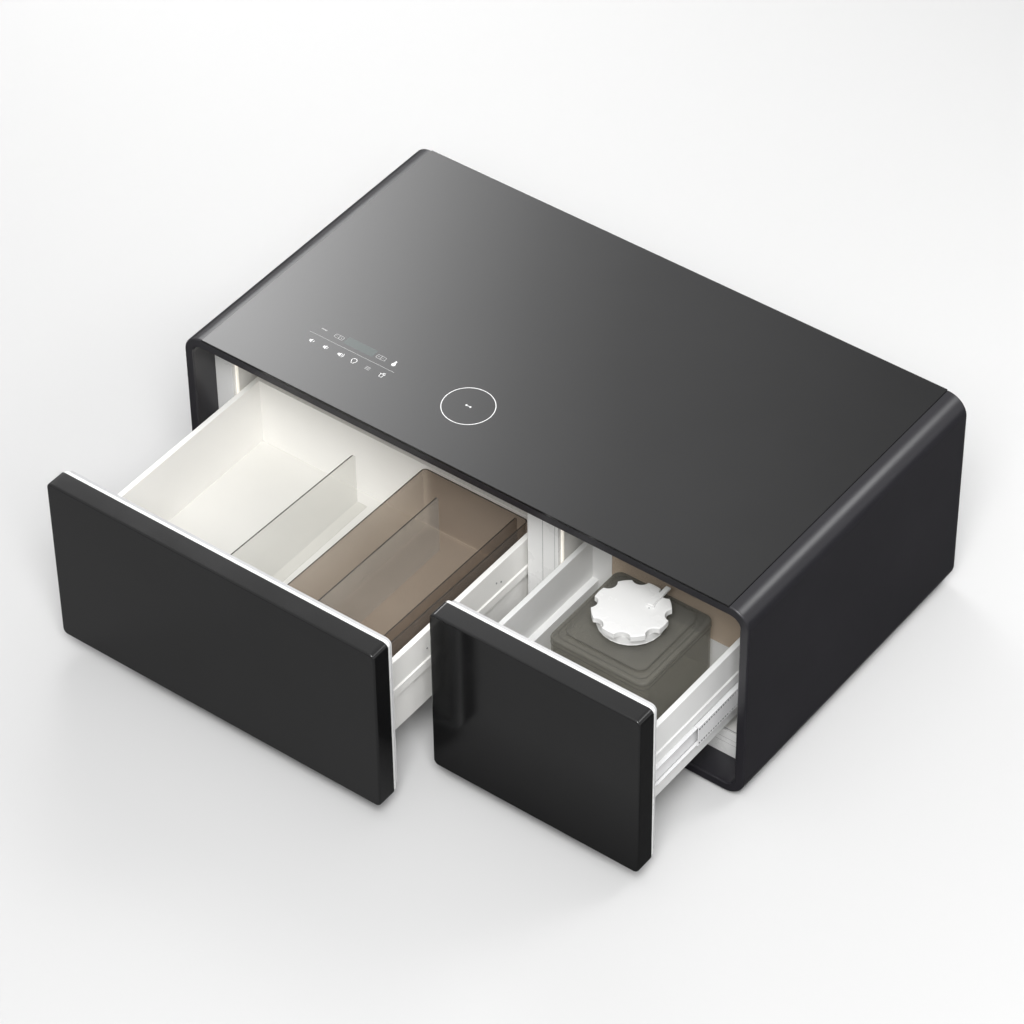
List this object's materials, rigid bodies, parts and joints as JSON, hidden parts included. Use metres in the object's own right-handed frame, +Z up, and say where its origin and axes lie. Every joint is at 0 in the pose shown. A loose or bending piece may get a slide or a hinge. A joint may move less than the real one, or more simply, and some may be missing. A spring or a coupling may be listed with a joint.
{
  "type": "smart coffee table with cooled drawers",
  "caption": "Low rounded cabinet with a glass top, touch controls, a wireless charging spot and cooled drawers pulled open at the front.",
  "frame": {"origin": "on the floor, under the middle of the whole table with its drawers as they stand open", "axes": "X runs along the table to the right seen from the front, the drawers open towards -Y, Z is up"},
  "size_m": [1.3, 1.146, 0.479],
  "materials": {
    "shell_black": "satin black lacquer",
    "black_glass": "polished, backed with dark print",
    "front_graphite": "satin graphite, glossier on the faces",
    "white_gloss": "gloss white",
    "white_satin": "satin white",
    "insulation_foam": "matt foam",
    "clear_plastic": "clear",
    "smoke_plastic": "clear brown tint",
    "tank_plastic": "clear grey tint",
    "gasket_rubber": "matt",
    "black_rubber": "matt",
    "runner_steel": "zinc plated",
    "aluminium_plate": "mill finish",
    "copper_tube": "bright",
    "dark_steel": "powder coated",
    "black_plastic": "fine grain",
    "circuit_board": "solder mask",
    "light_diffuser": "frosted"
  },
  "bodies": {
    "cabinet": {"cabinet_shell": "shell_black", "glass_top": "black_glass", "touch_board": "circuit_board", "display_module": "black_plastic", "wireless_charger": "black_plastic", "face_frame": "white_gloss", "mullion_cover": "white_gloss", "left_compartment": "white_satin", "right_compartment": "white_satin", "left_light_bar": "light_diffuser", "right_light_bar": "light_diffuser", "left_evaporator": "aluminium_plate", "right_evaporator": "aluminium_plate", "insulation": "insulation_foam", "levelling_feet": "black_rubber", "left_cabinet_runners": "runner_steel", "right_cabinet_runners": "runner_steel", "compressor": "dark_steel", "compressor_grommets": "black_rubber", "condenser": "aluminium_plate", "fan_housing": "black_plastic", "refrigerant_tube": "copper_tube", "power_supply": "dark_steel", "control_board": "circuit_board", "power_inlet": "black_plastic", "left_speaker": "black_plastic", "right_speaker": "black_plastic", "back_panel": "dark_steel", "back_panel_screws": "runner_steel"},
    "left_middle": {"left_middle_runners": "runner_steel"},
    "left_drawer": {"left_front": "front_graphite", "left_front_core": "insulation_foam", "left_front_liner": "white_gloss", "left_gasket": "gasket_rubber", "left_drawer_box": "white_gloss", "left_drawer_runners": "runner_steel", "clear_divider": "clear_plastic", "tinted_bin": "smoke_plastic", "left_bin_partition": "clear_plastic", "right_bin_partition": "smoke_plastic"},
    "right_middle": {"right_middle_runners": "runner_steel"},
    "right_drawer": {"right_front": "front_graphite", "right_front_core": "insulation_foam", "right_front_liner": "white_gloss", "right_gasket": "gasket_rubber", "right_drawer_box": "white_gloss", "right_drawer_runners": "runner_steel", "tank_body": "tank_plastic", "tank_seal": "black_rubber", "rear_guard": "smoke_plastic"},
    "cap": {"tank_cap": "white_gloss"},
    "lever": {"tank_lever": "white_gloss"},
    "fan": {"fan_rotor": "black_plastic"}
  },
  "joints": [
    {"name": "left_drawer_slide", "type": "slide", "parent": "cabinet", "child": "left_drawer", "axis": [0, -1, 0], "range_m": [-0.43469, 0.04]},
    {"name": "left_runner_slide", "type": "slide", "parent": "cabinet", "child": "left_middle", "axis": [0, -1, 0], "range_m": [-0.21734, 0.02]},
    {"name": "right_drawer_slide", "type": "slide", "parent": "cabinet", "child": "right_drawer", "axis": [0, -1, 0], "range_m": [-0.28872, 0.06]},
    {"name": "right_runner_slide", "type": "slide", "parent": "cabinet", "child": "right_middle", "axis": [0, -1, 0], "range_m": [-0.14436, 0.03]},
    {"name": "cap_turn", "type": "hinge", "parent": "right_drawer", "child": "cap", "pos_m": [0.38305, -0.12253, 0.3183], "axis": [0, 0, 1], "range_deg": [0, 90]},
    {"name": "lever_lift", "type": "hinge", "parent": "cap", "child": "lever", "pos_m": [0.40905, -0.09853, 0.3348], "axis": [1, 0, 0], "range_deg": [0, 95]},
    {"name": "fan_spin", "type": "hinge", "parent": "cabinet", "child": "fan", "pos_m": [0.41252, 0.54599, 0.122], "axis": [0, 1, 0], "continuous": true}
  ],
  "couplings": [
    {"joint": "left_runner_slide", "follows": "left_drawer_slide", "ratio": 0.5},
    {"joint": "right_runner_slide", "follows": "right_drawer_slide", "ratio": 0.5}
  ]
}
